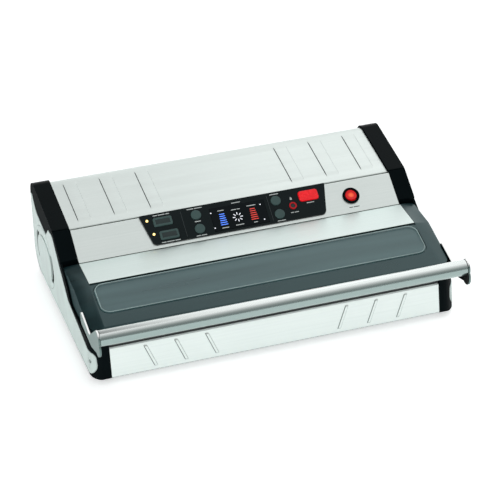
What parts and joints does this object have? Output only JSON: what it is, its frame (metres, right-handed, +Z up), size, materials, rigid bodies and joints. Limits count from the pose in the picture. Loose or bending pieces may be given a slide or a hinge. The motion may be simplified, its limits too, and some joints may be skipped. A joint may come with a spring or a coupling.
{
  "type": "vacuum sealer",
  "caption": "Counter-top bag vacuum sealer: steel housing with glossy black end trims, sloping keypad, hinged windowed lid and a full-width tubular handle.",
  "frame": {"origin": "on the floor, under the middle of the machine's length and depth", "axes": "+X to the user's right, +Y to the back, +Z up; the keypad and the handle face -Y"},
  "size_m": [0.479, 0.347, 0.134],
  "materials": {
    "steel": "fine horizontal brush",
    "bright_steel": "fine brush, nearly white",
    "tube_steel": "satin, brushed round the tube",
    "arm_steel": "satin with polished edges",
    "side_plastic": "fine-grained pale grey-green",
    "gloss_black": "high gloss",
    "lid_plastic": "satin dark grey",
    "smoked_window": "smoked and slightly frosted",
    "deck_plastic": "satin black",
    "foot_rubber": "matt",
    "foam_gasket": "closed-cell foam with a skin",
    "silicone": "matt",
    "seal_aluminium": "extruded, clear anodised",
    "ptfe_tape": "woven glass cloth coated with fluoropolymer",
    "key_grey": "satin",
    "key_red": "semi-gloss",
    "display_glass": "polished dark window over a display",
    "circuit_board": "solder mask",
    "copper": "varnished windings on a steel core",
    "motor_steel": "zinc plated",
    "nylon": "natural moulding",
    "lamp_red": "lit translucent lens",
    "lamp_yellow": "lit translucent lens"
  },
  "bodies": {
    "housing": {"keypad_panel": "gloss_black", "display_window": "display_glass", "mode_lamp": "lamp_yellow", "start_lamp": "lamp_yellow", "display_board": "circuit_board", "accessory_port": "key_red", "switch_bezel": "gloss_black", "right_trim": "gloss_black", "left_trim": "gloss_black", "right_side_panel": "side_plastic", "left_side_panel": "side_plastic", "right_vent_cover": "side_plastic", "left_vent_cover": "side_plastic", "front_panel": "steel", "top_cover": "steel", "control_fascia": "steel", "base_pan": "steel", "rear_panel": "steel", "power_inlet": "gloss_black", "front_left_foot": "foot_rubber", "front_right_foot": "foot_rubber", "rear_left_foot": "foot_rubber", "rear_right_foot": "foot_rubber", "deck": "deck_plastic", "lower_gasket": "foam_gasket", "drip_tray": "deck_plastic", "seal_bar": "seal_aluminium", "heating_wire": "bright_steel", "ptfe_tape": "ptfe_tape", "right_hinge_bracket": "motor_steel", "left_hinge_bracket": "motor_steel", "right_hinge_pin": "bright_steel", "left_hinge_pin": "bright_steel", "right_pump_head": "nylon", "left_pump_head": "nylon", "right_pump_motor": "motor_steel", "left_pump_motor": "motor_steel", "solenoid_valve": "motor_steel", "right_pump_hose": "foot_rubber", "left_pump_hose": "foot_rubber", "transformer": "copper", "power_board": "circuit_board", "fan_frame": "deck_plastic"},
    "lid": {"lid_frame": "lid_plastic", "lid_window": "smoked_window", "lid_strip": "bright_steel", "lid_gasket": "foam_gasket", "pressure_strip": "silicone", "handle_bar": "tube_steel", "right_handle_arm": "arm_steel", "left_handle_arm": "arm_steel"},
    "mode_button": {"mode_button": "key_grey"},
    "start_button": {"start_button": "key_grey"},
    "pulse_button": {"pulse_button": "key_grey"},
    "seal_button": {"seal_button": "key_grey"},
    "food_button": {"food_button": "key_grey"},
    "marinate_button": {"marinate_button": "key_grey"},
    "cancel_button": {"cancel_button": "key_red"},
    "rocker": {"switch_rocker": "lamp_red"},
    "rotor": {"fan_rotor": "deck_plastic"}
  },
  "joints": [
    {"name": "lid_hinge", "type": "hinge", "parent": "housing", "child": "lid", "pos_m": [0, 0.0086, 0.0852], "axis": [-1, 0, 0], "range_deg": [0, 50]},
    {"name": "mode_press", "type": "slide", "parent": "housing", "child": "mode_button", "axis": [0, 0.5592, -0.829], "range_m": [0, 0.0012], "stiffness_N_per_m": 600, "springref_m": -0.0005},
    {"name": "start_press", "type": "slide", "parent": "housing", "child": "start_button", "axis": [0, 0.5592, -0.829], "range_m": [0, 0.0012], "stiffness_N_per_m": 600, "springref_m": -0.0005},
    {"name": "pulse_press", "type": "slide", "parent": "housing", "child": "pulse_button", "axis": [0, 0.5592, -0.829], "range_m": [0, 0.0012], "stiffness_N_per_m": 600, "springref_m": -0.0005},
    {"name": "seal_press", "type": "slide", "parent": "housing", "child": "seal_button", "axis": [0, 0.5592, -0.829], "range_m": [0, 0.0012], "stiffness_N_per_m": 600, "springref_m": -0.0005},
    {"name": "food_press", "type": "slide", "parent": "housing", "child": "food_button", "axis": [0, 0.5592, -0.829], "range_m": [0, 0.0012], "stiffness_N_per_m": 600, "springref_m": -0.0005},
    {"name": "marinate_press", "type": "slide", "parent": "housing", "child": "marinate_button", "axis": [0, 0.5592, -0.829], "range_m": [0, 0.0012], "stiffness_N_per_m": 600, "springref_m": -0.0005},
    {"name": "cancel_press", "type": "slide", "parent": "housing", "child": "cancel_button", "axis": [0, 0.5592, -0.829], "range_m": [0, 0.0012], "stiffness_N_per_m": 600, "springref_m": -0.0005},
    {"name": "power_rocker", "type": "hinge", "parent": "housing", "child": "rocker", "pos_m": [0.1552, 0.0329, 0.10183], "axis": [1, 0, 0], "range_deg": [0, 14]},
    {"name": "fan_spin", "type": "hinge", "parent": "housing", "child": "rotor", "pos_m": [-0.2264, 0.1051, 0.052], "axis": [1, 0, 0], "continuous": true}
  ]
}
